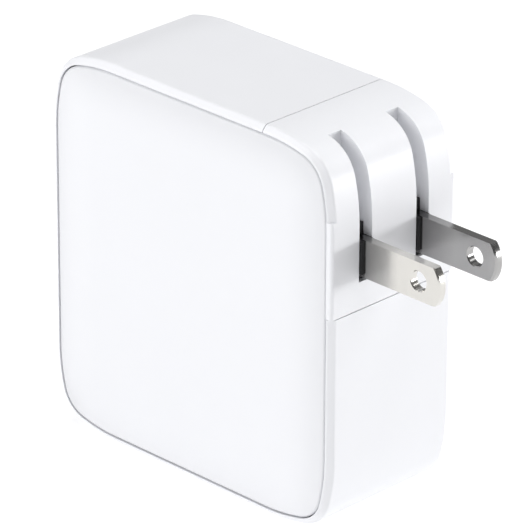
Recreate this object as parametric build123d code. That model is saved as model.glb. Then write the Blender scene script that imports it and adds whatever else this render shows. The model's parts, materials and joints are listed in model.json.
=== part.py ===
"""Laptop power adapter with a slide-off corner plug module and two folding wall blades.

Frame: millimetres, +Z up. The origin is the centre of the bottom face, +X points the way the
deployed blades point, and the large front panel faces -Y.
"""
import os
from math import cos, radians, sin, sqrt

from build123d import *

# ---- body ----
BODY_WIDTH = 62.6            # X
BODY_DEPTH = 27.5            # Y
BODY_HEIGHT = 66.6           # Z
CORNER_RADIUS = 7.0          # tight middle arc of each corner
FLANK_RADIUS = 32.0          # gentle arcs on both sides of the tight one
FLANK_ANGLE = 14.5           # degrees turned by each gentle arc
RIM_WIDTH = 1.15             # bevelled rim outside the panels
RIM_SLOPE_IN = 1.0           # rim bevel, measured across the panel
RIM_SLOPE_DEEP = 0.9         # rim bevel, measured into the depth
RIM_OUTER_ROUND = 0.6
RIM_INNER_ROUND = 0.8
SEAM = 0.2                   # groove between panel and rim
PANEL_THICKNESS = 2.4
PANEL_EDGE_ROUND = 0.4
WALL = 2.9                   # side wall of the housing frame
LIP_GAP = 0.2
LIP_WIDTH = 1.0
LIP_HEIGHT = 1.0

HALF_X = BODY_WIDTH / 2
HALF_Y = BODY_DEPTH / 2
PANEL_BACK = HALF_Y - PANEL_THICKNESS

# ---- corner notch that takes the plug module ----
NOTCH_X = 16.15
NOTCH_Z = 38.4
NOTCH_WALL = 2.4
MODULE_GAP = 0.15            # all round between module and notch
CHEEK_GAP = 0.2              # between module core and the panels' backs
FLUSH_TOP_Z = 54.8           # below this the module's edges are square and flush
FLUSH_SEAM = 0.12
FLUSH_ROUND = 0.6

# ---- wall blades (NEMA 1-15) ----
BLADE_SPACING = 12.7
BLADE_WIDTH = 6.35
BLADE_THICKNESS = 1.524
BLADE_Z = 47.12
BLADE_TIP_X = 47.6
TIP_ARC_RADIUS = 5.1
TIP_BEVEL_LONG = 0.3
TIP_BEVEL_DEEP = 0.25
HOLE_X = 43.1
HOLE_RADIUS = 1.59
HOLE_BEVEL = 0.16
HEEL_REACH = 5.1             # from the pivot back to the heel's end
HEEL_WIDTH = 3.2
HEEL_START = 3.0
BLADE_YS = (-BLADE_SPACING / 2, BLADE_SPACING / 2)
BLADE_NAMES = ("line", "neutral")

# ---- rotor that carries both blades ----
PIVOT_X = 28.0
PIVOT_Z = BLADE_Z
BARREL_RADIUS = 4.6
BARREL_WIDTH = 2.5
BARREL_CLEARANCE = 0.15
BARREL_STEP = 1.55           # flat on the blade side, above and below the blade
BARREL_BOTTOM = 3.5          # flat that faces out when the blades are folded
CREST_HEIGHT = 5.0           # square crest above the blade's root, from the pivot
CHEEK_REACH = 3.62           # cheeks on both sides of the blade's root, from the pivot
CHEEK_TOP = 3.0
CHEEK_BOTTOM = 2.6
SHAFT_RADIUS = 2.4
SHAFT_CLEARANCE = 0.05
SHAFT_END_Y = 9.1
DETENT_FLAT = 2.0
DETENT_HALF_WIDTH = 1.8

# ---- plug module ----
SLOT_WIDTH = 2.8
SLOT_FLOOR_X = 24.4
SLOT_BOTTOM_Z = 43.2
POCKET_RADIUS = 5.6
CHAMBER_X = 22.2
CHAMBER_HALF_Y = 9.2
CHAMBER_Z = (43.4, 63.2)
COVER_THICKNESS = 2.0
COVER_GAP = 0.1
MODULE_X = NOTCH_X + MODULE_GAP
MODULE_Z = NOTCH_Z + MODULE_GAP
COVER_X = MODULE_X + COVER_THICKNESS

# ---- figure-eight mains inlet ----
INLET_Z = 56.6
PIN_SPACING = 8.6
PIN_RADIUS = 1.18
PIN_YS = (-PIN_SPACING / 2, PIN_SPACING / 2)
PIN_TIP_X = 15.4
NUB_RADIUS = 3.4
NUB_END_X = 8.9
CUP_BORE_RADIUS = 3.7
CUP_RADIUS = 4.6
CUP_FLANGE_HALF_Z = 6.2
CUP_FLOOR_X = 7.7
CUP_BACK_X = 6.2
SLEEVE_BORE_RADIUS = 1.24
SLEEVE_RADIUS = 1.85

# ---- ground stud and the T-slot that runs over it ----
STUD_X = 23.6
STUD_RADIUS = 2.0
STUD_HEAD_RADIUS = 3.4
STUD_NECK_TOP = 39.9
STUD_HEAD_TOP = 41.1
T_SLOT_GAP = 0.3

# ---- USB-C receptacle, in the middle of the -X side ----
USB_Z = BODY_HEIGHT / 2
USB_SHELL_WIDTH = 8.94
USB_SHELL_HEIGHT = 3.26
USB_SHELL_WALL = 0.35
USB_LENGTH = 7.3
USB_MOUTH_X = -HALF_X + 0.5
USB_TONGUE_WIDTH = 6.69
USB_TONGUE_THICKNESS = 0.7

# ---- circuit boards ----
BOARD_FRONT_Y = 9.0
BOARD_BACK_Y = 10.4
BOARD_INSET = 4.5
USB_BOARD_Y = (USB_SHELL_HEIGHT / 2 + 0.05, USB_SHELL_HEIGHT / 2 + 1.05)

# ---- transformer ----
TRAFO_X = -13.6
TRAFO_Z = 14.7
TRAFO_WIDTH = 15.6
TRAFO_TALL = 19.0
TRAFO_DEEP = 15.0
TRAFO_Y = (BOARD_FRONT_Y - 1.2 - TRAFO_DEEP, BOARD_FRONT_Y - 1.2)
TRAFO_MIDDLE_Y = sum(TRAFO_Y) / 2
CORE_LIMB = 3.2              # thickness of the core above and below the winding
CORE_SIDE = 2.4              # thickness of the core beside the winding
CORE_HALF_Y = 4.2
CORE_POST_RADIUS = 2.6
FORMER_RADIUS = 3.3
WINDING_RADIUS = 4.6
WINDING_TURNS = 9
FLANGE_HALF_X = 5.2
TAPE_THICKNESS = 0.15

# ---- capacitors ----
BULK_XS = (3.6, 18.6)
BULK_Y = 1.6
BULK_Z = (6.2, 31.6)
BULK_RADIUS = 7.0
LEG_HALF_SPACING = 2.5
LEG_DROP = 1.2               # from the can's base down to the legs' lower face
OUTPUT_CAN_PLACES = ((-14.6, 28.8), (-8.2, 28.8), (-14.6, 35.4))
OUTPUT_CAN_RADIUS = 2.9
OUTPUT_CAN_LENGTH = 10.5
X_CAPACITOR_SPANS = ((-9.6, 2.6), (-2.6, BOARD_FRONT_Y), (54.4, 61.4))

# ---- mains choke ----
CHOKE_X = -18.6
CHOKE_Y = 3.4
CHOKE_Z = 54.2
CHOKE_RADIUS = 4.4
CHOKE_TUBE = 1.5             # radius of the ring's own section
CHOKE_TURNS = 7              # on each half of the ring
CHOKE_TURN_STEP = 21.0       # degrees
CHOKE_WIRE_RADIUS = 0.36

# ---- fuse, rectifier, transistor and heat spreaders ----
FUSE_X = (-8.6, 0.4)
FUSE_Y = 6.6
FUSE_Z = 50.8
FUSE_RADIUS = 1.9
BRIDGE_SPANS = ((-5.4, 9.4), (-2.0, 5.6), (45.6, 48.8))
BRIDGE_LEG_STEP = 3.8
TRANSISTOR_X = 2.4
TRANSISTOR_SPANS = ((TRANSISTOR_X - 5.0, TRANSISTOR_X + 5.0), (-5.2, 4.0), (40.0, 43.0))
TRANSISTOR_LEG_STEP = 2.54
SCREW_Y = -3.0
SCREW_RADIUS = 1.5
SPREADER_X = (-4.6, 9.4)
SPREADER_FRONT_Y = -9.4
SPREADER_Z = (43.0, 44.4)
SPREADER_LOW_Z = 37.6
COPPER_X = (-25.6, -19.4)
COPPER_Z = (7.6, 22.4)

# ---- small parts on the main board: X, Z, width, height and legs on each side ----
CHIP_PLACES = ((-8.6, 35.4, 3.9, 4.9, 4), (13.6, 33.2, 2.9, 2.9, 2), (19.6, 33.4, 4.9, 2.6, 2))
OPTOCOUPLER_PLACE = (-8.2, 41.6, 6.4, 4.4, 2)
INDUCTOR_SPANS = ((-26.0, -19.0), (BOARD_FRONT_Y - 4.2, BOARD_FRONT_Y), (44.0, 48.0))
PASSIVE_START = (-3.4, 33.3)
PASSIVE_STEP = 1.9
PASSIVE_COLUMNS = 7
PASSIVE_ROWS = 2
SOLDER_XS = range(-22, 24, 6)
SOLDER_ZS = (9, 20, 31)

# ---- dipped discs: X, Z, radius and half thickness ----
Y_CAPACITOR_PLACE = (-15.0, 41.0, 3.4, 1.4)
VARISTOR_PLACE = (-10.4, 45.7, 3.6, 1.3)
THERMISTOR_PLACE = (24.9, 33.5, 2.3, 1.0)

STANDING = (Align.CENTER, Align.CENTER, Align.MIN)


# ---------------------------------------------------------------- shared shapes
def slab(x_span, y_span, z_span):
    """Box between two values on each axis."""
    spans = (x_span, y_span, z_span)
    sizes = [high - low for low, high in spans]
    middle = [(low + high) / 2 for low, high in spans]
    return Pos(*middle) * Box(*sizes)


def centred(middle, sizes):
    """Box of the given sizes about a middle point."""
    return Pos(*middle) * Box(*sizes)


def rod(start, end, radius):
    """Round bar from one point to another."""
    along = Vector(*end) - Vector(*start)
    return Plane(origin=start, z_dir=along) * Cylinder(radius, along.length, align=STANDING)


def outline(inset):
    """The body's outline moved inwards: straight sides joined by corners of three tangent arcs."""
    spread = FLANK_RADIUS - CORNER_RADIUS
    tight = FLANK_RADIUS - spread * cos(radians(FLANK_ANGLE))
    gentle = tight + spread * sin(radians(FLANK_ANGLE))
    flank = FLANK_RADIUS - inset
    corners = []
    for turn in range(4):
        half_a, half_b = (HALF_X, BODY_HEIGHT / 2) if turn % 2 == 0 else (BODY_HEIGHT / 2, HALF_X)
        arcs = (
            CenterArc((half_a - FLANK_RADIUS, half_b - gentle), flank, 0, FLANK_ANGLE),
            CenterArc((half_a - tight, half_b - tight), CORNER_RADIUS - inset,
                      FLANK_ANGLE, 90 - 2 * FLANK_ANGLE),
            CenterArc((half_a - gentle, half_b - FLANK_RADIUS), flank,
                      90 - FLANK_ANGLE, FLANK_ANGLE),
        )
        corners.append([Rot(0, 0, 90 * turn) * arc for arc in arcs])
    edges = []
    for turn, arcs in enumerate(corners):
        edges += arcs
        edges.append(Line(arcs[-1] @ 1, corners[(turn + 1) % 4][0] @ 0))
    return make_face(edges)


def prism(inset, y_span):
    """The body's outline, moved inwards by inset and swept between two depths."""
    plane = Plane(origin=(0, y_span[1], BODY_HEIGHT / 2), x_dir=(1, 0, 0), z_dir=(0, -1, 0))
    return extrude(plane * outline(inset), y_span[1] - y_span[0])


def rounded_body():
    """The whole outer shape, with its eased front and rear rims."""
    body = prism(0, (-HALF_Y, HALF_Y))
    for end in (0, -1):
        face = body.faces().sort_by(Axis.Y)[end]
        body = chamfer(face.edges(), RIM_SLOPE_IN, RIM_SLOPE_DEEP, reference=face)
    for depth, radius in ((HALF_Y, RIM_INNER_ROUND), (HALF_Y - RIM_SLOPE_DEEP, RIM_OUTER_ROUND)):
        for side in (-1, 1):
            loop = [edge for edge in body.edges() if abs(edge.center().Y - side * depth) < 0.01]
            body = fillet(loop, radius)
    return body


def figure_eight(radius, x_span):
    """Bar along X with the inlet's two-lobed section."""
    lobes = [rod((x_span[0], y, INLET_Z), (x_span[1], y, INLET_Z), radius) for y in PIN_YS]
    waist = slab(x_span, PIN_YS, (INLET_Z - radius * 0.82, INLET_Z + radius * 0.82))
    return lobes[0] + lobes[1] + waist


def strip(points, thickness, y_span):
    """Bent metal strip: a thin path in X-Z with the given thickness, as wide as y_span."""
    pieces = []
    for start, end in zip(points, points[1:]):
        run = Vector(end[0] - start[0], 0, end[1] - start[1])
        plane = Plane(origin=(start[0], sum(y_span) / 2, start[1]), x_dir=(0, 1, 0), z_dir=run)
        pieces.append(plane * Box(y_span[1] - y_span[0], thickness, run.length, align=STANDING))
    bends = [rod((x, y_span[0], z), (x, y_span[1], z), thickness / 2) for x, z in points]
    joined = pieces[0]
    for piece in pieces[1:] + bends:
        joined += piece
    return joined


def rounded_slab(x_span, y_span, z_span, radius, axis=Axis.Y):
    """Box with the edges along one axis rounded."""
    box = slab(x_span, y_span, z_span)
    return fillet(box.edges().filter_by(axis), radius)


def can_capacitor(base, top, radius):
    """Round can with an eased crimp at its top and a rolled groove near its base."""
    can = rod(base, top, radius)
    can = fillet(can.edges().filter_by(GeomType.CIRCLE), 0.5)
    along = (Vector(*top) - Vector(*base)).normalized()
    ring = Plane(origin=Vector(*base) + along * 2.2, z_dir=along) * Torus(radius + 0.25, 0.6)
    return can - ring


# ---------------------------------------------------------------- housing
def panel(side):
    """Front (side -1) or rear (side 1) panel with a locating lip on its back."""
    outer, back = side * HALF_Y, side * PANEL_BACK
    plate = prism(RIM_WIDTH + SEAM, (min(outer, back), max(outer, back)))
    face = plate.faces().sort_by(Axis.Y)[0 if side < 0 else -1]
    plate = fillet(face.edges(), PANEL_EDGE_ROUND)
    depths = sorted((back, back - side * LIP_HEIGHT))
    lip = prism(WALL + LIP_GAP, depths) - prism(WALL + LIP_GAP + LIP_WIDTH, depths)
    corner = slab((NOTCH_X - NOTCH_WALL - LIP_GAP, BODY_WIDTH), (-BODY_DEPTH, BODY_DEPTH),
                  (NOTCH_Z - NOTCH_WALL - LIP_GAP, BODY_HEIGHT * 2))
    return plate + (lip - corner)


def usb_opening(grow, x_span):
    """Rounded slot along X with the receptacle's outer section, grown by a margin."""
    half_y = USB_SHELL_HEIGHT / 2 + grow
    half_z = USB_SHELL_WIDTH / 2 + grow
    return rounded_slab(x_span, (-half_y, half_y), (USB_Z - half_z, USB_Z + half_z),
                        half_y * 0.98, Axis.X)


def housing_frame(body):
    """Ring of side walls with the rim, the notch for the plug module and the USB-C opening."""
    ring = body - prism(RIM_WIDTH, (-HALF_Y, -PANEL_BACK)) - prism(RIM_WIDTH, (PANEL_BACK, HALF_Y))
    ring -= prism(WALL, (-PANEL_BACK, PANEL_BACK))
    depths = (-PANEL_BACK, PANEL_BACK)
    inner_wall = slab((NOTCH_X - NOTCH_WALL, NOTCH_X), depths, (NOTCH_Z - NOTCH_WALL, BODY_HEIGHT))
    inner_floor = slab((NOTCH_X - NOTCH_WALL, HALF_X), depths, (NOTCH_Z - NOTCH_WALL, NOTCH_Z))
    ring += (inner_wall + inner_floor) & prism(WALL / 2, depths)
    ring -= slab((NOTCH_X, BODY_WIDTH), (-BODY_DEPTH, BODY_DEPTH), (NOTCH_Z, BODY_HEIGHT * 2))
    ring -= figure_eight(CUP_RADIUS, (NOTCH_X - 2 * NOTCH_WALL, NOTCH_X + 1))
    ring -= rod((STUD_X, 0, NOTCH_Z - 2 * NOTCH_WALL), (STUD_X, 0, NOTCH_Z + 1), STUD_RADIUS)
    ring -= usb_opening(0.05, (-HALF_X - 1, -HALF_X + WALL + 1))
    return ring - usb_opening(0.3, (-HALF_X - 1, USB_MOUTH_X - 0.2))


# ---------------------------------------------------------------- plug module
def pocket(radius, y_span):
    """Round clearance about the pivot, inside the faces, open towards the contact chamber."""
    disc = rod((PIVOT_X, y_span[0], PIVOT_Z), (PIVOT_X, y_span[1], PIVOT_Z), radius)
    front = PIVOT_X + HEEL_WIDTH / 2 + 0.2
    inside = disc & slab((0, front), (-BODY_DEPTH, BODY_DEPTH), (0, BODY_HEIGHT))
    way_in = slab((CHAMBER_X - 1, PIVOT_X), y_span, (PIVOT_Z - radius, PIVOT_Z + radius))
    return inside + way_in


def t_slot():
    """Slot in the module's underside that slides over the ground stud."""
    neck, head = STUD_RADIUS + T_SLOT_GAP, STUD_HEAD_RADIUS + T_SLOT_GAP
    low, neck_top, head_top = NOTCH_Z - 1, STUD_NECK_TOP - T_SLOT_GAP, STUD_HEAD_TOP + T_SLOT_GAP
    cut = slab((NOTCH_X - 1, STUD_X), (-neck, neck), (low, head_top))
    cut += rod((STUD_X, 0, low), (STUD_X, 0, head_top), neck)
    cut += slab((NOTCH_X - 1, STUD_X), (-head, head), (neck_top, head_top))
    cut += rod((STUD_X, 0, neck_top), (STUD_X, 0, head_top), head)
    spring_room = slab((MODULE_X + 0.9, STUD_X + 3.2), (-1.7, 1.7), (head_top - 0.1, head_top + 1.1))
    return cut + spring_room


def plug_shell(body):
    """Outer piece of the plug module: corner surface, blade slots and bearing pockets."""
    region = slab((MODULE_X, BODY_WIDTH), (-BODY_DEPTH, BODY_DEPTH), (MODULE_Z, BODY_HEIGHT * 2))
    shell = body & region
    square = slab((MODULE_X, HALF_X), (-HALF_Y, HALF_Y), (MODULE_Z, FLUSH_TOP_Z))
    square = fillet(square.edges().filter_by(Axis.Z).group_by(Axis.X)[-1], FLUSH_ROUND)
    core_half = PANEL_BACK - CHEEK_GAP
    for depths in ((-HALF_Y, -core_half), (core_half, HALF_Y)):
        shell -= prism(RIM_WIDTH, depths)
        square -= prism(RIM_WIDTH + SEAM - FLUSH_SEAM, depths)
    edge_strip = slab((HALF_X - RIM_WIDTH - SEAM, HALF_X), (-HALF_Y, HALF_Y), (MODULE_Z, FLUSH_TOP_Z))
    shell += square & edge_strip & prism(0, (-HALF_Y, HALF_Y))
    shell -= slab((MODULE_X - 1, CHAMBER_X), (-CHAMBER_HALF_Y, CHAMBER_HALF_Y), CHAMBER_Z)
    for y in BLADE_YS:
        sides = (y - SLOT_WIDTH / 2, y + SLOT_WIDTH / 2)
        shell -= slab((SLOT_FLOOR_X, BODY_WIDTH), sides, (SLOT_BOTTOM_Z, BODY_HEIGHT * 2))
        shell -= pocket(POCKET_RADIUS, sides)
        shell -= rod((PIVOT_X, sides[0], PIVOT_Z), (PIVOT_X, sides[1], PIVOT_Z),
                     BARREL_RADIUS + BARREL_CLEARANCE)
    bearing = SHAFT_RADIUS + SHAFT_CLEARANCE
    shaft_room = rod((PIVOT_X, -CHAMBER_HALF_Y, PIVOT_Z), (PIVOT_X, CHAMBER_HALF_Y, PIVOT_Z), bearing)
    shell -= shaft_room + pocket(bearing, (-CHAMBER_HALF_Y, CHAMBER_HALF_Y))
    return shell - t_slot()


def plug_cover():
    """Inner closing plate with the two-lobed nub and the saddles that hold the rotor's shaft."""
    half_y = CHAMBER_HALF_Y - COVER_GAP
    plate = slab((MODULE_X, COVER_X), (-half_y, half_y),
                 (CHAMBER_Z[0] + COVER_GAP, CHAMBER_Z[1] - COVER_GAP))
    cover = plate + figure_eight(NUB_RADIUS, (NUB_END_X, COVER_X))
    bearing = SHAFT_RADIUS + SHAFT_CLEARANCE
    reach = SHAFT_RADIUS - 0.1
    for side in (-1, 1):
        sides = sorted((side * (BLADE_YS[1] + SLOT_WIDTH / 2 + 0.1), side * half_y))
        cover += slab((COVER_X - 0.5, PIVOT_X - 0.3), sides, (PIVOT_Z - reach, PIVOT_Z + reach))
    cover -= rod((PIVOT_X, -BODY_DEPTH, PIVOT_Z), (PIVOT_X, BODY_DEPTH, PIVOT_Z), bearing)
    for y in PIN_YS:
        cover -= rod((NUB_END_X + 0.7, y, INLET_Z), (COVER_X + 1, y, INLET_Z), SLEEVE_RADIUS)
        cover -= rod((NUB_END_X - 1, y, INLET_Z), (NUB_END_X + 1, y, INLET_Z), SLEEVE_BORE_RADIUS)
    return cover


def socket_sleeve(y):
    """Tube that takes one inlet pin, with four slits that let its mouth spring."""
    start, end = NUB_END_X + 0.7, COVER_X + 0.3
    tube = rod((start, y, INLET_Z), (end, y, INLET_Z), SLEEVE_RADIUS)
    tube -= rod((start - 1, y, INLET_Z), (end - 1.5, y, INLET_Z), SLEEVE_BORE_RADIUS)
    slit = centred((start + 1.5, y, INLET_Z), (3.0, 0.4, 2 * SLEEVE_RADIUS + 1))
    other_slit = centred((start + 1.5, y, INLET_Z), (3.0, 2 * SLEEVE_RADIUS + 1, 0.4))
    return tube - slit - other_slit


def contact_spring(side):
    """Strip from a socket sleeve down to the blade's heel."""
    points = ((COVER_X + 0.55, INLET_Z + 2.0), (COVER_X + 0.55, 50.2), (22.0, 47.8),
              (22.0, 46.6), (20.3, 44.8))
    return strip(points, 0.4, sorted((side * 3.0, side * 7.4)))


def detent_spring():
    """Three-sided leaf whose front face bears on the shaft's flats."""
    front = PIVOT_X - SHAFT_RADIUS - 0.45
    points = ((COVER_X + 0.2, 45.2), (front, 45.2), (front, 49.0), (COVER_X + 0.2, 49.0))
    return strip(points, 0.3, (-1.5, 1.5))


def stud_spring():
    """Bowed leaf in the T-slot's roof that grips the stud."""
    top = STUD_HEAD_TOP + T_SLOT_GAP + 0.85
    points = ((MODULE_X + 1.2, top), (STUD_X - 2.6, top), (STUD_X, top - 0.55), (STUD_X + 2.6, top))
    return strip(points, 0.25, (-1.4, 1.4))


def blade(y):
    """One wall blade: flat bar with a rounded, bevelled tip, a round hole and a narrow heel."""
    half = BLADE_WIDTH / 2
    drop = TIP_ARC_RADIUS - sqrt(TIP_ARC_RADIUS ** 2 - half ** 2)
    root = PIVOT_X - HEEL_START
    corners = ((BLADE_TIP_X - drop, half), (root, half), (root, -half), (BLADE_TIP_X - drop, -half))
    path = Polyline(*corners)
    tip = ThreePointArc(corners[-1], (BLADE_TIP_X, 0), corners[0])
    plane = Plane(origin=(0, y, BLADE_Z), x_dir=(1, 0, 0), z_dir=(0, -1, 0))
    flat = extrude(plane * make_face(path + tip), BLADE_THICKNESS / 2, both=True)
    end_face = flat.faces().sort_by(Axis.X)[-1]
    tip_edges = [edge for edge in end_face.edges() if edge.geom_type == GeomType.CIRCLE]
    flat = chamfer(tip_edges, TIP_BEVEL_DEEP, TIP_BEVEL_LONG, reference=end_face)
    flat += centred((PIVOT_X - (HEEL_REACH + HEEL_START) / 2, y, BLADE_Z),
                    (HEEL_REACH - HEEL_START, BLADE_THICKNESS, HEEL_WIDTH))
    half_t = BLADE_THICKNESS / 2
    flat -= rod((HOLE_X, y - half_t, BLADE_Z), (HOLE_X, y + half_t, BLADE_Z), HOLE_RADIUS)
    for side in (-1, 1):
        mouth = Cone(HOLE_RADIUS + HOLE_BEVEL, HOLE_RADIUS, HOLE_BEVEL, align=STANDING)
        flat -= Plane(origin=(HOLE_X, y + side * half_t, BLADE_Z), z_dir=(0, -side, 0)) * mouth
    return flat - rod((PIVOT_X, y - 2, PIVOT_Z), (PIVOT_X, y + 2, PIVOT_Z), SHAFT_RADIUS / 2)


def blade_rotor(blades):
    """Black insulating rotor moulded round both blades: two stepped barrels on one shaft."""
    shaft = rod((PIVOT_X, -SHAFT_END_Y, PIVOT_Z), (PIVOT_X, SHAFT_END_Y, PIVOT_Z), SHAFT_RADIUS)
    square = centred((PIVOT_X, 0, PIVOT_Z), (2 * DETENT_FLAT, 2 * DETENT_HALF_WIDTH, 2 * DETENT_FLAT))
    middle = slab((0, BODY_WIDTH), (-DETENT_HALF_WIDTH, DETENT_HALF_WIDTH), (0, BODY_HEIGHT))
    rotor = (shaft - middle) + (square & shaft)
    trim = slab((PIVOT_X - 2 * BARREL_RADIUS, PIVOT_X + BARREL_STEP), (-BODY_DEPTH, BODY_DEPTH),
                (PIVOT_Z - BARREL_BOTTOM, PIVOT_Z + 2 * BARREL_RADIUS))
    for y in BLADE_YS:
        sides = (y - BARREL_WIDTH / 2, y + BARREL_WIDTH / 2)
        barrel = rod((PIVOT_X, sides[0], PIVOT_Z), (PIVOT_X, sides[1], PIVOT_Z), BARREL_RADIUS)
        rotor += barrel & trim
        rotor += slab((PIVOT_X - BARREL_STEP, PIVOT_X + BARREL_STEP), sides,
                      (PIVOT_Z, PIVOT_Z + CREST_HEIGHT))
        rotor += slab((PIVOT_X, PIVOT_X + CHEEK_REACH), sides,
                      (PIVOT_Z - CHEEK_BOTTOM, PIVOT_Z + CHEEK_TOP))
    for metal in blades:
        rotor -= metal
    return rotor


# ---------------------------------------------------------------- inlet and stud
def inlet_socket():
    """Two-lobed cup that holds the mains pins, with a flange behind the notch wall."""
    wall_back = NOTCH_X - NOTCH_WALL
    cup = figure_eight(CUP_RADIUS, (CUP_BACK_X, NOTCH_X))
    flange_y = PIN_YS[1] + CUP_RADIUS
    cup += rounded_slab((wall_back - 1.5, wall_back), (-flange_y, flange_y),
                        (INLET_Z - CUP_FLANGE_HALF_Z, INLET_Z + CUP_FLANGE_HALF_Z), 2.0, Axis.X)
    cup -= figure_eight(CUP_BORE_RADIUS, (CUP_FLOOR_X, NOTCH_X + 1))
    for y in PIN_YS:
        cup -= rod((CUP_BACK_X - 1, y, INLET_Z), (CUP_FLOOR_X + 1, y, INLET_Z), PIN_RADIUS)
    return cup


def inlet_pins():
    """Both mains pins, with domed tips and heads behind the cup's floor."""
    pins = []
    for y in PIN_YS:
        pin = rod((CUP_BACK_X - 0.4, y, INLET_Z), (PIN_TIP_X, y, INLET_Z), PIN_RADIUS)
        pin = fillet(pin.edges().filter_by(GeomType.CIRCLE).sort_by(Axis.X)[-1], PIN_RADIUS * 0.8)
        pins.append(pin + rod((CUP_BACK_X - 1, y, INLET_Z), (CUP_BACK_X, y, INLET_Z), 1.7))
    return pins


def inlet_leads():
    """Flat tabs that take both pins back to the main board."""
    back = CUP_BACK_X - 1
    line_tab = slab((back - 0.8, back), (PIN_YS[1] - 1.2, BOARD_FRONT_Y), (INLET_Z - 1, INLET_Z + 1))
    down = slab((back - 0.8, back), (PIN_YS[0] - 1.2, PIN_YS[0] + 1.2), (51.6, INLET_Z + 1))
    across = slab((back - 0.8, back), (PIN_YS[0], BOARD_FRONT_Y), (51.6, 53.4))
    return [line_tab, down + across]


def ground_stud():
    """Round-headed stud that guides and holds the plug module."""
    under = NOTCH_Z - NOTCH_WALL
    stud = rod((STUD_X, 0, under), (STUD_X, 0, STUD_NECK_TOP), STUD_RADIUS)
    head = rod((STUD_X, 0, STUD_NECK_TOP), (STUD_X, 0, STUD_HEAD_TOP), STUD_HEAD_RADIUS)
    head = chamfer(head.edges().filter_by(GeomType.CIRCLE).group_by(Axis.Z)[-1], 0.35)
    return stud + head + rod((STUD_X, 0, under - 2.8), (STUD_X, 0, under), 1.5)


def stud_nut():
    """Hexagon nut that holds the stud from inside."""
    top = NOTCH_Z - NOTCH_WALL
    hexagon = Plane(origin=(STUD_X, 0, top - 1.8)) * RegularPolygon(3.1, 6)
    return extrude(hexagon, 1.8) - rod((STUD_X, 0, top - 4), (STUD_X, 0, top), 1.5)


# ---------------------------------------------------------------- USB-C receptacle
def usb_shell():
    """Drawn steel tube of the receptacle with a closed back."""
    end = USB_MOUTH_X + USB_LENGTH
    outer = usb_opening(0, (USB_MOUTH_X, end))
    return outer - usb_opening(-USB_SHELL_WALL, (USB_MOUTH_X - 1, end - 0.6))


def usb_tongue():
    """Insulating tongue and its base block."""
    end = USB_MOUTH_X + USB_LENGTH - 0.6
    half_w, half_t = USB_TONGUE_WIDTH / 2, USB_TONGUE_THICKNESS / 2
    tongue = slab((USB_MOUTH_X + 0.9, end), (-half_t, half_t), (USB_Z - half_w, USB_Z + half_w))
    tongue += usb_opening(-USB_SHELL_WALL, (end - 1.9, end))
    return tongue


def usb_contacts():
    """Twelve contact strips on each face of the tongue."""
    strips = []
    for side in (-1, 1):
        for index in range(12):
            z = USB_Z + (index - 5.5) * 0.5
            face = side * USB_TONGUE_THICKNESS / 2
            depths = sorted((face, face + side * 0.06))
            strips.append(slab((USB_MOUTH_X + 1.4, USB_MOUTH_X + 4.8), depths, (z - 0.13, z + 0.13)))
    return strips


def usb_board():
    """Small board behind the receptacle."""
    board = slab((-27.6, -18.4), USB_BOARD_Y, (USB_Z - 8.5, USB_Z + 8.5))
    return fillet(board.edges().filter_by(Axis.Y), 0.6)


def board_header():
    """Row of square pins from the small board back to the main board."""
    pins = []
    for index in range(6):
        z = USB_Z + (index - 2.5) * 2.0
        pins.append(centred((-19.6, (USB_BOARD_Y[1] + BOARD_FRONT_Y) / 2, z),
                            (0.64, BOARD_FRONT_Y - USB_BOARD_Y[1], 0.64)))
    return pins


# ---------------------------------------------------------------- main board and parts on it
def main_board():
    """L-shaped main board, clear of the corner notch."""
    depths = (BOARD_FRONT_Y, BOARD_BACK_Y)
    tall = slab((-HALF_X, NOTCH_X - NOTCH_WALL - 0.8), depths, (0, BODY_HEIGHT))
    wide = slab((-HALF_X, HALF_X), depths, (0, NOTCH_Z - NOTCH_WALL - 0.8))
    return (tall + wide) & prism(BOARD_INSET, depths)


def solder_joints():
    """Solder beads on the back of the main board, under the through-hole parts."""
    beads = []
    for x in SOLDER_XS:
        for z in SOLDER_ZS:
            plane = Plane(origin=(x, BOARD_BACK_Y, z), z_dir=(0, 1, 0))
            beads.append(plane * Cone(0.8, 0.3, 0.4, align=STANDING))
    return beads


def insulating_sheet():
    """Thin sheet between the solder side and the rear panel."""
    depths = (PANEL_BACK - 0.45, PANEL_BACK - 0.2)
    tall = slab((-HALF_X, NOTCH_X - NOTCH_WALL - 0.4), depths, (0, BODY_HEIGHT))
    wide = slab((-HALF_X, HALF_X), depths, (0, NOTCH_Z - NOTCH_WALL - 0.4))
    return (tall + wide) & prism(BOARD_INSET - 0.2, depths)


def transformer_cores():
    """Two E-shaped ferrite halves that meet about the winding."""
    halves = []
    for side in (-1, 1):
        spans = sorted((TRAFO_Z, TRAFO_Z + side * TRAFO_TALL / 2))
        half = slab((TRAFO_X - TRAFO_WIDTH / 2, TRAFO_X + TRAFO_WIDTH / 2),
                    (TRAFO_MIDDLE_Y - CORE_HALF_Y, TRAFO_MIDDLE_Y + CORE_HALF_Y), spans)
        hollow = sorted((TRAFO_Z - side, TRAFO_Z + side * (TRAFO_TALL / 2 - CORE_LIMB)))
        half -= slab((TRAFO_X - TRAFO_WIDTH / 2 + CORE_SIDE, TRAFO_X + TRAFO_WIDTH / 2 - CORE_SIDE),
                     (TRAFO_MIDDLE_Y - CORE_HALF_Y - 1, TRAFO_MIDDLE_Y + CORE_HALF_Y + 1), hollow)
        post = rod((TRAFO_X, TRAFO_MIDDLE_Y, TRAFO_Z),
                   (TRAFO_X, TRAFO_MIDDLE_Y, TRAFO_Z + side * (TRAFO_TALL / 2 - 1)), CORE_POST_RADIUS)
        halves.append(half + post)
    return halves


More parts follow.
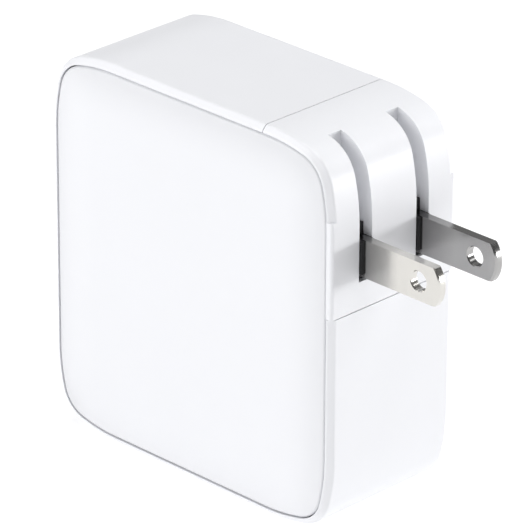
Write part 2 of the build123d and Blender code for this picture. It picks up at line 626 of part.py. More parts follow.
def transformer_bobbin():
    """Plastic former with a flange at each end of the winding and feet on the board."""
    half = TRAFO_TALL / 2 - CORE_LIMB - 0.1
    former = rod((TRAFO_X, TRAFO_MIDDLE_Y, TRAFO_Z - half), (TRAFO_X, TRAFO_MIDDLE_Y, TRAFO_Z + half),
                 FORMER_RADIUS)
    across = (TRAFO_X - FLANGE_HALF_X, TRAFO_X + FLANGE_HALF_X)
    for side in (-1, 1):
        spans = sorted((TRAFO_Z + side * half, TRAFO_Z + side * (half - 0.8)))
        former += slab(across, TRAFO_Y, spans)
        former += slab(across, (TRAFO_Y[1] - 0.4, BOARD_FRONT_Y), spans)
    return former - rod((TRAFO_X, TRAFO_MIDDLE_Y, 0), (TRAFO_X, TRAFO_MIDDLE_Y, BODY_HEIGHT),
                        CORE_POST_RADIUS + 0.1)


def transformer_winding():
    """Wound copper, with a rounded rib for each visible turn."""
    half = TRAFO_TALL / 2 - CORE_LIMB - 1.1
    pitch = 2 * half / WINDING_TURNS
    coil = rod((TRAFO_X, TRAFO_MIDDLE_Y, TRAFO_Z - half), (TRAFO_X, TRAFO_MIDDLE_Y, TRAFO_Z + half),
               WINDING_RADIUS)
    for index in range(WINDING_TURNS):
        z = TRAFO_Z - half + (index + 0.5) * pitch
        coil += Pos(TRAFO_X, TRAFO_MIDDLE_Y, z) * Torus(WINDING_RADIUS - 0.1, pitch * 0.45)
    return coil - rod((TRAFO_X, TRAFO_MIDDLE_Y, 0), (TRAFO_X, TRAFO_MIDDLE_Y, BODY_HEIGHT), FORMER_RADIUS)


def transformer_tape():
    """Band of tape round the outside of both core halves."""
    half_x, half_z, half_y = TRAFO_WIDTH / 2, TRAFO_TALL / 2, CORE_HALF_Y - 1
    outer = slab((TRAFO_X - half_x - TAPE_THICKNESS, TRAFO_X + half_x + TAPE_THICKNESS),
                 (TRAFO_MIDDLE_Y - half_y, TRAFO_MIDDLE_Y + half_y),
                 (TRAFO_Z - half_z - TAPE_THICKNESS, TRAFO_Z + half_z + TAPE_THICKNESS))
    return outer - slab((TRAFO_X - half_x, TRAFO_X + half_x), (-BODY_DEPTH, BODY_DEPTH),
                        (TRAFO_Z - half_z, TRAFO_Z + half_z))


def bulk_capacitors():
    """Two large electrolytic cans lying along Z."""
    return [can_capacitor((x, BULK_Y, BULK_Z[0]), (x, BULK_Y, BULK_Z[1]), BULK_RADIUS) for x in BULK_XS]


def capacitor_leads():
    """Flat legs of both large cans, bent back to the board."""
    legs = []
    for x in BULK_XS:
        for shift in (-LEG_HALF_SPACING, LEG_HALF_SPACING):
            sides = (x + shift - 0.4, x + shift + 0.4)
            low = BULK_Z[0] - LEG_DROP
            down = slab(sides, (BULK_Y - 0.3, BULK_Y + 0.3), (low, BULK_Z[0]))
            legs.append(down + slab(sides, (BULK_Y - 0.3, BOARD_FRONT_Y), (low, low + 0.5)))
    return legs


def output_capacitors():
    """Three small cans on the low-voltage side, standing on the board."""
    end = BOARD_FRONT_Y - OUTPUT_CAN_LENGTH
    return [can_capacitor((x, BOARD_FRONT_Y, z), (x, end, z), OUTPUT_CAN_RADIUS)
            for x, z in OUTPUT_CAN_PLACES]


def choke_core():
    """Ring core of the mains choke, lying flat above the board."""
    return Plane(origin=(CHOKE_X, CHOKE_Y, CHOKE_Z), z_dir=(0, 1, 0)) * Torus(CHOKE_RADIUS, CHOKE_TUBE)


def choke_windings():
    """Two coils of separate turns, one on each half of the ring."""
    turns = []
    for half_turn in (0, 180):
        for index in range(CHOKE_TURNS):
            angle = radians(half_turn + 90 + CHOKE_TURN_STEP * (index - (CHOKE_TURNS - 1) / 2))
            place = (CHOKE_X + CHOKE_RADIUS * cos(angle), CHOKE_Y, CHOKE_Z + CHOKE_RADIUS * sin(angle))
            along = (-sin(angle), 0, cos(angle))
            turns.append(Plane(origin=place, z_dir=along)
                         * Torus(CHOKE_TUBE + CHOKE_WIRE_RADIUS + 0.06, CHOKE_WIRE_RADIUS))
    return turns


def choke_base():
    """Plastic foot under the choke."""
    low = CHOKE_Y + CHOKE_TUBE + 0.85
    foot = rod((CHOKE_X, low, CHOKE_Z), (CHOKE_X, BOARD_FRONT_Y, CHOKE_Z), 5.6)
    return foot - rod((CHOKE_X, low - 1, CHOKE_Z), (CHOKE_X, BOARD_FRONT_Y - 1, CHOKE_Z), 3.4)


def x_capacitor():
    """Boxed film capacitor across the mains."""
    return rounded_slab(*X_CAPACITOR_SPANS, 0.6)


def disc_part(x, z, radius, half_thickness):
    """Dipped disc standing on the board with two wire legs."""
    middle = BOARD_FRONT_Y - radius - 1.2
    disc = rod((x, middle, z - half_thickness), (x, middle, z + half_thickness), radius)
    disc = fillet(disc.edges().filter_by(GeomType.CIRCLE), half_thickness * 0.8)
    for shift in (-0.64 * radius, 0.64 * radius):
        disc += rod((x + shift, middle, z), (x + shift, BOARD_FRONT_Y, z), 0.35)
    return disc


def fuse():
    """Small round fuse in its sleeve, lying along X."""
    body = rod((FUSE_X[0], FUSE_Y, FUSE_Z), (FUSE_X[1], FUSE_Y, FUSE_Z), FUSE_RADIUS)
    body = fillet(body.edges().filter_by(GeomType.CIRCLE), 0.5)
    heights = (FUSE_Z - 0.3, FUSE_Z + 0.3)
    for end, outwards in ((FUSE_X[0], -1), (FUSE_X[1], 1)):
        body += slab(sorted((end - outwards, end + outwards)), (FUSE_Y - 0.3, FUSE_Y + 0.3), heights)
        body += slab(sorted((end + 0.2 * outwards, end + outwards)), (FUSE_Y - 0.3, BOARD_FRONT_Y), heights)
    return body


def bridge_rectifier():
    """Flat four-legged rectifier."""
    body = rounded_slab(*BRIDGE_SPANS, 0.5)
    middle_x, middle_z = sum(BRIDGE_SPANS[0]) / 2, sum(BRIDGE_SPANS[2]) / 2
    for index in range(4):
        x = middle_x + (index - 1.5) * BRIDGE_LEG_STEP
        body += slab((x - 0.5, x + 0.5), (BRIDGE_SPANS[1][1] - 0.6, BOARD_FRONT_Y),
                     (middle_z - 0.3, middle_z + 0.3))
    return body


def screw_line(low, high):
    """Bar as thick as the transistor's screw, between two heights."""
    return rod((TRANSISTOR_X, SCREW_Y, low), (TRANSISTOR_X, SCREW_Y, high), SCREW_RADIUS)


def primary_transistor():
    """Power transistor standing against the heat spreader."""
    body = slab(*TRANSISTOR_SPANS)
    low, high = TRANSISTOR_SPANS[2]
    for index in range(3):
        x = TRANSISTOR_X + (index - 1) * TRANSISTOR_LEG_STEP
        body += slab((x - 0.4, x + 0.4), (TRANSISTOR_SPANS[1][1] - 0.5, BOARD_FRONT_Y),
                     (low + 1.2, low + 1.8))
    return body - screw_line(low - 1, high + 1)


def primary_heatsink():
    """Bent aluminium spreader from the transistor to just behind the front panel."""
    thickness = SPREADER_Z[1] - SPREADER_Z[0]
    shelf = slab(SPREADER_X, (SPREADER_FRONT_Y, 7.0), SPREADER_Z)
    flange = slab(SPREADER_X, (SPREADER_FRONT_Y, SPREADER_FRONT_Y + thickness),
                  (SPREADER_LOW_Z, SPREADER_Z[1]))
    return shelf + flange - screw_line(SPREADER_Z[0] - 1, SPREADER_Z[1] + 1)


def transistor_screw():
    """Screw and nut that clamp the transistor to its spreader."""
    low, top = TRANSISTOR_SPANS[2][0], SPREADER_Z[1]
    head = rod((TRANSISTOR_X, SCREW_Y, top), (TRANSISTOR_X, SCREW_Y, top + 1.2), 2.6)
    head -= centred((TRANSISTOR_X, SCREW_Y, top + 1.2), (6.0, 0.6, 1.0))
    nut = extrude(Plane(origin=(TRANSISTOR_X, SCREW_Y, low - 1.4)) * RegularPolygon(2.9, 6), 1.4)
    return screw_line(low - 0.6, top + 0.7) + head + nut


def thermal_pads():
    """Soft pads between the heat spreaders and the front panel."""
    depths = (-PANEL_BACK + 0.1, SPREADER_FRONT_Y)
    return [slab((SPREADER_X[0] + 0.4, SPREADER_X[1] - 0.4), depths,
                 (SPREADER_LOW_Z + 0.2, SPREADER_Z[1] - 0.2)),
            slab((COPPER_X[0] + 0.2, COPPER_X[1] - 0.2), depths, (COPPER_Z[0] + 0.4, COPPER_Z[1] - 0.4))]


def secondary_heatsink():
    """Copper spreader on the low-voltage side, standing on the board on two feet."""
    plate = slab(COPPER_X, (SPREADER_FRONT_Y, SPREADER_FRONT_Y + 1), COPPER_Z)
    for z in (COPPER_Z[0] + 1, COPPER_Z[1] - 1):
        plate += slab((COPPER_X[0], COPPER_X[0] + 1), (SPREADER_FRONT_Y, BOARD_FRONT_Y), (z - 1, z + 1))
    return plate


def output_inductor():
    """Square moulded inductor."""
    return chamfer(slab(*INDUCTOR_SPANS).edges().filter_by(Axis.Y), 0.6)


def chip(x, z, wide, tall, legs):
    """Flat chip package on the board with gull-wing legs down two sides."""
    body = centred((x, BOARD_FRONT_Y - 0.85, z), (wide, 1.4, tall))
    for side in (-1, 1):
        for index in range(legs):
            leg_z = z + (index - (legs - 1) / 2) * 1.27
            body += centred((x + side * (wide / 2 + 0.45), BOARD_FRONT_Y - 0.45, leg_z), (1.0, 0.9, 0.4))
    return body


def control_chips():
    """Controller, rectifier driver and charging-protocol chips."""
    return [chip(*place) for place in CHIP_PLACES]


def optocoupler():
    """Isolating coupler between the two sides."""
    return chip(*OPTOCOUPLER_PLACE)


def chip_passives():
    """Rows of small resistors and capacitors."""
    parts = []
    for row in range(PASSIVE_ROWS):
        for column in range(PASSIVE_COLUMNS):
            x = PASSIVE_START[0] + PASSIVE_STEP * column
            z = PASSIVE_START[1] + PASSIVE_STEP * row
            parts.append(centred((x, BOARD_FRONT_Y - 0.3, z), (1.5, 0.6, 0.9)))
    return parts


# ---------------------------------------------------------------- write every node
def write(name, shape):
    """Write one node as a STEP file; a list of shapes becomes a group of solids."""
    if isinstance(shape, list):
        shape = Compound(children=[piece.solid() for piece in shape])
    export_step(shape, f"parts/{name}.step")


def main():
    """Build every piece in place."""
    os.makedirs("parts", exist_ok=True)
    body = rounded_body()
    write("housing_frame", housing_frame(body))
    write("front_panel", panel(-1))
    write("rear_panel", panel(1))
    write("inlet_socket", inlet_socket())
    write("inlet_pins", inlet_pins())
    write("inlet_leads", inlet_leads())
    write("ground_stud", ground_stud())
    write("stud_nut", stud_nut())

    write("plug_shell", plug_shell(body))
    write("plug_cover", plug_cover())
    write("detent_spring", detent_spring())
    write("stud_spring", stud_spring())
    blades = [blade(y) for y in BLADE_YS]
    for index, name in enumerate(BLADE_NAMES):
        write(f"blade_{name}", blades[index])
        write(f"socket_sleeve_{name}", socket_sleeve(PIN_YS[index]))
        write(f"contact_spring_{name}", contact_spring((-1, 1)[index]))
    write("blade_rotor", blade_rotor(blades))

    write("usb_shell", usb_shell())
    write("usb_tongue", usb_tongue())
    write("usb_contacts", usb_contacts())
    write("usb_board", usb_board())
    write("board_header", board_header())

    write("main_board", main_board())
    write("solder_joints", solder_joints())
    write("insulating_sheet", insulating_sheet())
    write("transformer_cores", transformer_cores())
    write("transformer_bobbin", transformer_bobbin())
    write("transformer_winding", transformer_winding())
    write("transformer_tape", transformer_tape())
    write("bulk_capacitors", bulk_capacitors())
    write("capacitor_leads", capacitor_leads())
    write("output_capacitors", output_capacitors())
    write("choke_core", choke_core())
    write("choke_windings", choke_windings())
    write("choke_base", choke_base())
    write("x_capacitor", x_capacitor())
    write("y_capacitor", disc_part(*Y_CAPACITOR_PLACE))
    write("varistor", disc_part(*VARISTOR_PLACE))
    write("thermistor", disc_part(*THERMISTOR_PLACE))
    write("fuse", fuse())
    write("bridge_rectifier", bridge_rectifier())
    write("primary_transistor", primary_transistor())
    write("primary_heatsink", primary_heatsink())
    write("transistor_screw", transistor_screw())
    write("secondary_heatsink", secondary_heatsink())
    write("thermal_pads", thermal_pads())
    write("output_inductor", output_inductor())
    write("control_chips", control_chips())
    write("optocoupler", optocoupler())
    write("chip_passives", chip_passives())


main()
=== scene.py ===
import json
from math import radians

import bpy
from mathutils import Matrix, Vector


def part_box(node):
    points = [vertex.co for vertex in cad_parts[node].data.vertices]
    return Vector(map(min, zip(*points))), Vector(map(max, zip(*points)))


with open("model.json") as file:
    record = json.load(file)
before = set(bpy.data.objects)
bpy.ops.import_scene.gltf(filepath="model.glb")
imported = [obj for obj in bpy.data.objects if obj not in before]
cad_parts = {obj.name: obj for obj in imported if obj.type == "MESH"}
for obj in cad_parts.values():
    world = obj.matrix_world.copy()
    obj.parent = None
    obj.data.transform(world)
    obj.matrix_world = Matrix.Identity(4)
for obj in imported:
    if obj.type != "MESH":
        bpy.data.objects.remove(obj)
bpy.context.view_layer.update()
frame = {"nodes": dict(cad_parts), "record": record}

NODES = frame["nodes"]
BODY_LOW, BODY_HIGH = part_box("housing_frame")
NEAR_BLADE, FAR_BLADE = sorted(("blade_line", "blade_neutral"), key=lambda name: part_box(name)[0].y)

# All sizes, heights and depths are in metres and all angles in degrees.
# The lens and the sensor are in millimetres.

# ---- camera ----
CAMERA_AZIMUTH = 44.65
CAMERA_ELEVATION = 24.88
CAMERA_ROLL = 0.25
CAMERA_DISTANCE = 0.7786
CAMERA_TARGET = Vector((0.00716, -0.00384, 0.03695))
CAMERA_LENS = 335.3
CAMERA_SENSOR = 36.0
CAMERA_CLIP = (0.05, 20.0)

# ---- studio lamps: name, place, width and height of the panel, power in watts ----
LIGHTS = (
    ("key_front_left", (-0.60, -1.00, 0.75), (0.7, 0.7), 6.1),
    ("far_left", (-1.10, -0.60, 0.45), (0.6, 0.8), 0.7),
    ("front_soft", (0.10, -1.20, 0.35), (0.7, 0.7), 3.4),
    ("rear_right", (0.45, 1.15, 0.50), (0.6, 0.9), 5.6),
    ("low_right", (0.85, 0.85, 0.08), (0.9, 0.16), 5.5),
    ("top_soft", (0.05, 0.10, 1.20), (0.9, 0.9), 9.6),
    ("top_rear", (-0.50, 0.80, 0.90), (0.9, 0.9), 0.5),
)
PURE_WHITE = (1.0, 1.0, 1.0)
WORLD_STRENGTH = 0.10

# ---- floor ----
FLOOR_SIZE = 4.0
FLOOR_GAP = 0.00005
FLOOR_COLOUR = (0.50, 0.50, 0.505)
FLOOR_DARKEST = 0.995
FLOOR_ROUGHNESS = 0.9
FLOOR_GLOW = 0.62
PAPER_FIBRE_SIZE = 0.002

# ---- where most values lie of one noise, of two added, and of one with half of another ----
ONE_NOISE = (0.3, 0.7)
TWO_NOISES = (0.7, 1.3)
NOISE_AND_HALF = (0.45, 1.05)

# ---- white plastic; the two large panels fall away towards their edges ----
WHITE = (0.865, 0.872, 0.90)
WHITE_ROUGHNESS = 0.34
WHITE_TINTS = (0.985, 1.01)
WHITE_SPREAD = (0.86, 1.16)
GRAIN_SHARE = 0.5
WHITE_IOR = 1.5
CLOUD_SIZE = 0.018
RUB_SIZE = 0.006
RUB_STRETCH = (1.0, 1.0, 2.2)
GRAIN_SIZE = 0.00016
GRAIN_HEIGHT = 0.0000045
PILLOW_REACH = 0.0085
PILLOW_DROP = 0.0016

# ---- black plastic ----
BLACK_TONES = ((0.012, 0.012, 0.014), (0.028, 0.028, 0.030))
BLACK_ROUGHNESS = 0.42
BLACK_SHINE = 0.4
GLASS_FIBRE_SIZE = 0.0005
GLASS_FIBRE_STRETCH = (3.0, 1.0, 1.0)
GLASS_FIBRE_DEPTH = 0.00001
MOTTLE_SIZE = 0.003

# ---- wall blades: painted shade where they leave the slots, fading out between these two places along X ----
NICKEL = (0.70, 0.685, 0.65)
# painted shade: the far blade's darker nickel stands in for the dark things it reflects
FAR_BLADE_SHADED_NICKEL = (0.43, 0.425, 0.42)
# painted shade: the dark nickel at the blade roots stands in for the reflection of the dark slot
ROOT_SHADE_NICKEL = (0.20, 0.198, 0.20)
ROOT_SHADE_FADES_ALONG_X = (0.0305, 0.0390)
ROOT_SHADE_EDGE_WANDER = (-0.06, 0.06)
BLADE_ROUGHNESS = (0.13, 0.22)
BLADE_LINE_SIZE = 0.00012
BLADE_LINE_DEPTH = 0.0000008

# ---- other metals: colour, roughness, how far the fine lines stretch along X, Y and Z ----
LINES_ALONG_X = (26.0, 1.0, 1.0)
LINES_ALONG_Y = (1.0, 14.0, 1.0)
LINES_ALONG_Z = (1.0, 1.0, 18.0)
NO_LINES = (1.0, 1.0, 1.0)
METALS = {
    "nickel": (NICKEL, 0.16, LINES_ALONG_X),
    "spring_steel": ((0.56, 0.56, 0.57), 0.30, LINES_ALONG_Z),
    "bronze": ((0.68, 0.42, 0.22), 0.32, LINES_ALONG_Z),
    "gold_contacts": ((0.83, 0.60, 0.24), 0.24, LINES_ALONG_X),
    "aluminium": ((0.76, 0.77, 0.78), 0.38, LINES_ALONG_Y),
    "solder": ((0.66, 0.67, 0.69), 0.34, NO_LINES),
}
METAL_SPREAD = (0.75, 1.3)
METAL_LINE_SIZE = 0.00010
METAL_LINE_DEPTH = 0.0000022
TARNISH_SIZE = 0.0045
TARNISH_TINT = 0.93

# ---- dipped, sleeved or moulded finishes: colour, roughness, size and depth of the peel ----
FINISHES = {
    "tape": ((0.72, 0.47, 0.05), 0.28, 0.0009, 0.00003),
    "dark_sleeve": ((0.020, 0.024, 0.034), 0.26, 0.0012, 0.00003),
    "yellow_box": ((0.62, 0.42, 0.06), 0.5, 0.0003, 0.00003),
    "blue_dip": ((0.035, 0.12, 0.42), 0.3, 0.0012, 0.00003),
    "green_dip": ((0.03, 0.16, 0.07), 0.3, 0.0012, 0.00003),
    "brown_tube": ((0.16, 0.07, 0.03), 0.3, 0.0012, 0.00003),
    "black_epoxy": ((0.022, 0.022, 0.024), 0.55, 0.0002, 0.00001),
}
FINISH_TINTS = (0.82, 1.12)
FINISH_SPREAD = (0.8, 1.25)
FINISH_DRIFT_SIZE = 0.006

# ---- winding wire ----
COPPER_TONES = ((0.42, 0.14, 0.05), (0.62, 0.25, 0.09))
COPPER_METAL = 0.75
COPPER_ROUGHNESS = (0.26, 0.46)
COPPER_TONE_SIZE = 0.004
ENAMEL = 0.5
ENAMEL_ROUGHNESS = 0.15
WIRE_TURNS = {"Scale": 620.0, "Distortion": 0.6, "Detail": 1.0}
WIRE_TURN_DEPTH = 0.00006

# ---- circuit boards ----
MASK_TONES = ((0.008, 0.085, 0.035), (0.030, 0.20, 0.085))
MASK_ROUGHNESS = (0.28, 0.36)
MASK_GLOSS = 0.4
MASK_GLOSS_ROUGHNESS = 0.2
TRACKS = {
    "Scale": 140.0,
    "Mortar Size": 0.035,
    "Mortar Smooth": 0.2,
    "Color1": (0.0, 0.0, 0.0, 1.0),
    "Color2": (0.35, 0.35, 0.35, 1.0),
    "Mortar": (1.0, 1.0, 1.0, 1.0),
}
TRACK_OFFSET = 0.37
TRACK_DEPTH = 0.00003
TRACK_TILT = 90
WEAVE_SCALE = 1600.0
WEAVE_SHARE = 0.15

# ---- ferrite, polyester sheet and gap pads ----
FERRITE_TONES = ((0.020, 0.020, 0.022), (0.070, 0.070, 0.075))
FERRITE_ROUGHNESS = (0.45, 0.65)
FERRITE_METAL = 0.2
SPECK_SIZE = 0.00025
GRINDING_SIZE = 0.0001
GRINDING_STRETCH = (20.0, 1.0, 1.0)
FERRITE_DEPTH = 0.000012
FILM_TONES = ((0.72, 0.71, 0.66), (0.83, 0.82, 0.78))
FILM_ROUGHNESS = (0.25, 0.4)
HAZE_SIZE = 0.008
HAZE_DEPTH = 0.00002
PAD_TONES = ((0.13, 0.15, 0.17), (0.21, 0.23, 0.25))
PAD_ROUGHNESS = (0.7, 0.9)
LUMP_SIZE = 0.0006
LUMP_DEPTH = 0.00004


# ---------------------------------------------------------------- node helpers
MIX_FACTOR, MIX_FIRST_COLOUR, MIX_SECOND_COLOUR = 0, 6, 7


class Shader:
    """A new material with one Principled shader, and short calls that add nodes to it.

    Its place is the object's own coordinates, which are the CAD frame's.
    """

    def __init__(self, name):
        self.material = bpy.data.materials.new(name)
        self.material.use_nodes = True
        self.tree = self.material.node_tree
        self.surface = self.tree.nodes["Principled BSDF"]
        self.place = self.add("ShaderNodeTexCoord").outputs["Object"]

    def plug_in(self, socket, value):
        """Links a socket to another one, or sets it to a plain value."""
        if isinstance(value, bpy.types.NodeSocket):
            self.tree.links.new(value, socket)
        else:
            socket.default_value = value

    def add(self, kind, inputs=None, **settings):
        """A node with the given settings; inputs are values or sockets by name or number."""
        node = self.tree.nodes.new(kind)
        for key, value in settings.items():
            setattr(node, key, value)
        for key, value in (inputs or {}).items():
            self.plug_in(node.inputs[key], value)
        return node

    def noise(self, size, detail=2.0, stretch=(1.0, 1.0, 1.0)):
        """Noise from 0 to 1 whose features are about this size, and longer where stretched."""
        scale = [1.0 / (size * along) for along in stretch]
        mapping = self.add("ShaderNodeMapping", {"Vector": self.place, "Scale": scale})
        inputs = {"Vector": mapping.outputs[0], "Scale": 1.0, "Detail": detail}
        return self.add("ShaderNodeTexNoise", inputs).outputs["Fac"]

    def between(self, factor, low, high, start=0.0, end=1.0):
        """A number that runs from low to high as factor runs from start to end."""
        inputs = {"Value": factor, "From Min": start, "From Max": end, "To Min": low, "To Max": high}
        return self.add("ShaderNodeMapRange", inputs).outputs[0]

    def spread(self, factor, middle, shares, span):
        """A number that wanders between two shares of middle as factor crosses its span."""
        least, most = shares
        return self.between(factor, middle * least, middle * most, *span)

    def blend(self, factor, first, second):
        """A colour between two colours."""
        inputs = {
            MIX_FACTOR: factor,
            MIX_FIRST_COLOUR: (*first, 1.0),
            MIX_SECOND_COLOUR: (*second, 1.0),
        }
        return self.add("ShaderNodeMix", inputs, data_type="RGBA").outputs[2]

    def maths(self, operation, first, second=0.0):
        """One arithmetic step on two numbers or sockets."""
        return self.add("ShaderNodeMath", {0: first, 1: second}, operation=operation).outputs[0]

    def set(self, **values):
        """Sets the surface's own sockets; names use _ for a space."""
        for key, value in values.items():
            self.plug_in(self.surface.inputs[key.replace("_", " ")], value)

    def bump(self, height, depth):
        """Raises the surface by height times depth."""
        self.set(Normal=self.add("ShaderNodeBump", {"Height": height, "Distance": depth}).outputs[0])


def tinted(colour, factor):
    """A colour made darker or lighter."""
    return tuple(min(1.0, channel * factor) for channel in colour)


def pillow(m):
    """Height that falls away as a parabola near a panel's edges, along X and along Z."""
    low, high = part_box("front_panel")
    middle, half = (low + high) / 2, (high - low) / 2
    axes = m.add("ShaderNodeSeparateXYZ", {0: m.place}).outputs
    falls = []
    for axis in (0, 2):
        offset = m.maths("ABSOLUTE", m.maths("SUBTRACT", axes[axis], middle[axis]))
        past = m.between(offset, 0.0, 1.0, half[axis] - PILLOW_REACH, half[axis])
        falls.append(m.maths("MULTIPLY", past, past))
    return m.maths("MULTIPLY", m.maths("ADD", *falls), -PILLOW_DROP)


# ---------------------------------------------------------------- materials
def moulded_white(name, is_panel=False):
    """Satin moulded plastic: spark-eroded micro-texture, faint flow clouds and handling marks."""
    m = Shader(name)
    clouds = m.noise(CLOUD_SIZE, detail=3.0)
    grain = m.noise(GRAIN_SIZE)
    rub = m.noise(RUB_SIZE, detail=4.0, stretch=RUB_STRETCH)
    marks = m.maths("ADD", rub, m.maths("MULTIPLY", grain, GRAIN_SHARE))
    darkest, lightest = WHITE_TINTS
    m.set(
        Base_Color=m.blend(clouds, tinted(WHITE, darkest), tinted(WHITE, lightest)),
        Roughness=m.spread(marks, WHITE_ROUGHNESS, WHITE_SPREAD, NOISE_AND_HALF),
        IOR=WHITE_IOR,
    )
    height = m.maths("MULTIPLY", grain, GRAIN_HEIGHT)
    if is_panel:
        height = m.maths("ADD", height, pillow(m))
    m.bump(height, 1.0)
    return m.material


def black_plastic(name):
    """Black glass-filled plastic with a slightly mottled, finely pitted surface."""
    m = Shader(name)
    fibres = m.noise(GLASS_FIBRE_SIZE, detail=5.0, stretch=GLASS_FIBRE_STRETCH)
    mottle = m.noise(MOTTLE_SIZE, detail=3.0)
    m.set(
        Base_Color=m.blend(mottle, *BLACK_TONES),
        Roughness=m.spread(fibres, BLACK_ROUGHNESS, FINISH_SPREAD, ONE_NOISE),
        Specular_IOR_Level=BLACK_SHINE,
    )
    m.bump(fibres, GLASS_FIBRE_DEPTH)
    return m.material


def plated_metal(name, colour, roughness, stretch):
    """Plated or rolled metal: fine lines along the strip, cloudy tarnish, duller in patches."""
    m = Shader(name)
    lines = m.noise(METAL_LINE_SIZE, detail=3.0, stretch=stretch)
    tarnish = m.noise(TARNISH_SIZE, detail=4.0)
    m.set(
        Base_Color=m.blend(tarnish, tinted(colour, TARNISH_TINT), colour),
        Metallic=1.0,
        Roughness=m.spread(m.maths("ADD", lines, tarnish), roughness, METAL_SPREAD, TWO_NOISES),
    )
    m.bump(lines, METAL_LINE_DEPTH)
    return m.material


def blade_metal(name, tip_colour):
    """Nickel plate with painted shade where it leaves the slot, fading to the given colour towards
    the tip.
    """
    m = Shader(name)
    lines = m.noise(BLADE_LINE_SIZE, detail=3.0, stretch=LINES_ALONG_X)
    tarnish = m.noise(TARNISH_SIZE, detail=4.0)
    along = m.add("ShaderNodeSeparateXYZ", {0: m.place}).outputs[0]
    # painted shade: the colour is dark nickel near the slot and fades to the tip colour along X
    root_shade_fade = m.between(along, 0.0, 1.0, *ROOT_SHADE_FADES_ALONG_X)
    root_shade_fade_wandering = m.maths("ADD", root_shade_fade, m.between(tarnish, *ROOT_SHADE_EDGE_WANDER, *ONE_NOISE))
    m.set(
        Base_Color=m.blend(root_shade_fade_wandering, ROOT_SHADE_NICKEL, tip_colour),
        Metallic=1.0,
        Roughness=m.between(m.maths("ADD", lines, tarnish), *BLADE_ROUGHNESS, *TWO_NOISES),
    )
    m.bump(lines, BLADE_LINE_DEPTH)
    return m.material


def enamelled_copper(name):
    """Lacquered winding wire: many fine turns side by side, with slight colour changes."""
    m = Shader(name)
    wave = m.add("ShaderNodeTexWave", {"Vector": m.place, **WIRE_TURNS},
                 wave_type="BANDS", bands_direction="Z")
    turns = wave.outputs["Fac"]
    m.set(
        Base_Color=m.blend(m.noise(COPPER_TONE_SIZE, detail=3.0), *COPPER_TONES),
        Metallic=COPPER_METAL,
        Roughness=m.between(turns, *COPPER_ROUGHNESS),
        Coat_Weight=ENAMEL,
        Coat_Roughness=ENAMEL_ROUGHNESS,
    )
    m.bump(turns, WIRE_TURN_DEPTH)
    return m.material


def circuit_board(name):
    """Solder mask over copper tracks, with a woven glass grain beneath."""
    m = Shader(name)
    tilt = {"Vector": m.place, "Rotation": (radians(TRACK_TILT), 0, 0)}
    across_board = m.add("ShaderNodeMapping", tilt).outputs[0]
    bricks = m.add("ShaderNodeTexBrick", {"Vector": across_board, **TRACKS}, offset=TRACK_OFFSET)
    tracks = bricks.outputs["Color"]
    weave = m.add("ShaderNodeTexChecker", {"Vector": m.place, "Scale": WEAVE_SCALE}).outputs["Fac"]
    m.set(
        Base_Color=m.blend(tracks, *MASK_TONES),
        Roughness=m.between(weave, *MASK_ROUGHNESS),
        Coat_Weight=MASK_GLOSS,
        Coat_Roughness=MASK_GLOSS_ROUGHNESS,
    )
    m.bump(m.maths("ADD", tracks, m.maths("MULTIPLY", weave, WEAVE_SHARE)), TRACK_DEPTH)
    return m.material


def lacquered(name, colour, roughness, peel_size, peel_depth):
    """Dipped, sleeved or moulded component finish with a faint orange peel and colour drift."""
    m = Shader(name)
    peel = m.noise(peel_size)
    drift = m.noise(FINISH_DRIFT_SIZE, detail=3.0)
    darkest, lightest = FINISH_TINTS
    m.set(
        Base_Color=m.blend(drift, tinted(colour, darkest), tinted(colour, lightest)),
        Roughness=m.spread(peel, roughness, FINISH_SPREAD, ONE_NOISE),
    )
    m.bump(peel, peel_depth)
    return m.material


def ferrite(name):
    """Ground ferrite: dark grey, speckled, with fine grinding lines."""
    m = Shader(name)
    specks = m.noise(SPECK_SIZE, detail=4.0)
    ground = m.noise(GRINDING_SIZE, stretch=GRINDING_STRETCH)
    m.set(
        Base_Color=m.blend(specks, *FERRITE_TONES),
        Roughness=m.between(ground, *FERRITE_ROUGHNESS),
        Metallic=FERRITE_METAL,
    )
    m.bump(m.maths("ADD", specks, ground), FERRITE_DEPTH)
    return m.material


def film(name):
    """Thin polyester sheet with a milky haze."""
    m = Shader(name)
    haze = m.noise(HAZE_SIZE, detail=3.0)
    m.set(Base_Color=m.blend(haze, *FILM_TONES), Roughness=m.between(haze, *FILM_ROUGHNESS))
    m.bump(haze, HAZE_DEPTH)
    return m.material


def silicone(name):
    """Soft grey gap pad, matt and slightly lumpy."""
    m = Shader(name)
    lumps = m.noise(LUMP_SIZE, detail=4.0)
    m.set(Base_Color=m.blend(lumps, *PAD_TONES), Roughness=m.between(lumps, *PAD_ROUGHNESS))
    m.bump(lumps, LUMP_DEPTH)
    return m.material


def make_materials():
    """One material for each material slot of the record."""
    materials = {
        "white_shell": moulded_white("white_shell"),
        "white_module": moulded_white("white_module"),
        "black_insulator": black_plastic("black_insulator"),
        "copper": enamelled_copper("copper"),
        "ferrite": ferrite("ferrite"),
        "board": circuit_board("board"),
        "sheet": film("sheet"),
        "grey_pad": silicone("grey_pad"),
    }
    for name, look in METALS.items():
        materials[name] = plated_metal(name, *look)
    for name, look in FINISHES.items():
        materials[name] = lacquered(name, *look)
    return materials


def dress_nodes():
    """Gives every CAD node the material of its record slot, or its own where it has one."""
    materials = make_materials()
    panel_white = moulded_white("white_panel", is_panel=True)
    own = {
        "front_panel": panel_white,
        "rear_panel": panel_white,
        NEAR_BLADE: blade_metal("near_blade_nickel", NICKEL),
        # painted shade: the far blade gets darker nickel than the near one
        FAR_BLADE: blade_metal("far_blade_painted_shade", FAR_BLADE_SHADED_NICKEL),
    }
    for part in frame["record"]["subparts"]:
        node = NODES[part["node"]]
        node.data.materials.clear()
        node.data.materials.append(own.get(part["node"], materials[part["material_slot"]]))


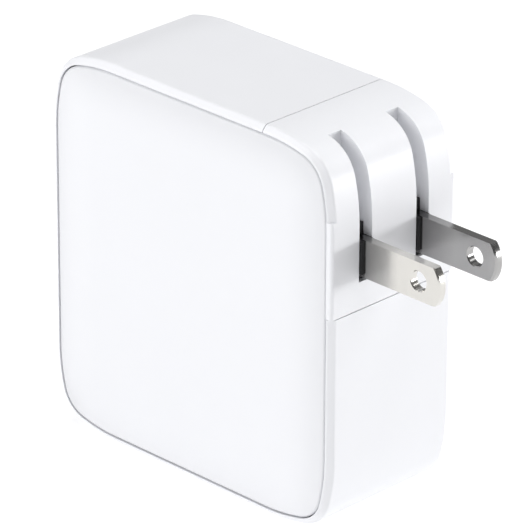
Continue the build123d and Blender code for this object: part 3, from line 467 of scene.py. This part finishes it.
# ---------------------------------------------------------------- stage, light and camera
def add_floor():
    """Pale seamless floor with a faint glow, so that it stays brighter than the white plastic."""
    half = FLOOR_SIZE / 2
    mesh = bpy.data.meshes.new("floor")
    corners = [(-half, -half, 0.0), (half, -half, 0.0), (half, half, 0.0), (-half, half, 0.0)]
    mesh.from_pydata(corners, [], [(0, 1, 2, 3)])
    floor = bpy.data.objects.new("floor", mesh)
    bpy.context.scene.collection.objects.link(floor)
    floor.location.z = BODY_LOW.z - FLOOR_GAP
    m = Shader("floor_paper")
    fibre = m.noise(PAPER_FIBRE_SIZE, detail=4.0)
    m.set(
        Base_Color=m.blend(fibre, tinted(FLOOR_COLOUR, FLOOR_DARKEST), FLOOR_COLOUR),
        Roughness=FLOOR_ROUGHNESS,
        Emission_Color=(*PURE_WHITE, 1.0),
        Emission_Strength=FLOOR_GLOW,
    )
    mesh.materials.append(m.material)


def add_world():
    """Even white surroundings."""
    world = bpy.data.worlds.new("studio")
    world.use_nodes = True
    background = world.node_tree.nodes["Background"]
    background.inputs["Color"].default_value = (*PURE_WHITE, 1.0)
    background.inputs["Strength"].default_value = WORLD_STRENGTH
    bpy.context.scene.world = world


def add_lights():
    """Large soft panels, each turned towards the middle of the adapter."""
    middle = (BODY_LOW + BODY_HIGH) / 2
    for name, place, size, power in LIGHTS:
        data = bpy.data.lights.new(name, "AREA")
        data.shape = "RECTANGLE"
        data.size, data.size_y = size
        data.energy = power
        lamp = bpy.data.objects.new(name, data)
        lamp.location = place
        lamp.rotation_euler = (middle - Vector(place)).to_track_quat("-Z", "Y").to_euler()
        bpy.context.scene.collection.objects.link(lamp)


def add_camera():
    """Long-lens camera looking down at the front and blade sides."""
    turn = Matrix.Rotation(radians(CAMERA_AZIMUTH), 4, "Z")
    tilt = Matrix.Rotation(radians(90 - CAMERA_ELEVATION), 4, "X")
    roll = Matrix.Rotation(radians(CAMERA_ROLL), 4, "Z")
    back_off = Matrix.Translation((0, 0, CAMERA_DISTANCE))
    data = bpy.data.cameras.new("camera")
    data.lens = CAMERA_LENS
    data.sensor_width = CAMERA_SENSOR
    data.clip_start, data.clip_end = CAMERA_CLIP
    camera = bpy.data.objects.new("camera", data)
    camera.matrix_world = Matrix.Translation(CAMERA_TARGET) @ turn @ tilt @ roll @ back_off
    bpy.context.scene.collection.objects.link(camera)
    bpy.context.scene.camera = camera


dress_nodes()
add_floor()
add_world()
add_lights()
add_camera()
bpy.context.scene.view_settings.view_transform = "Standard"
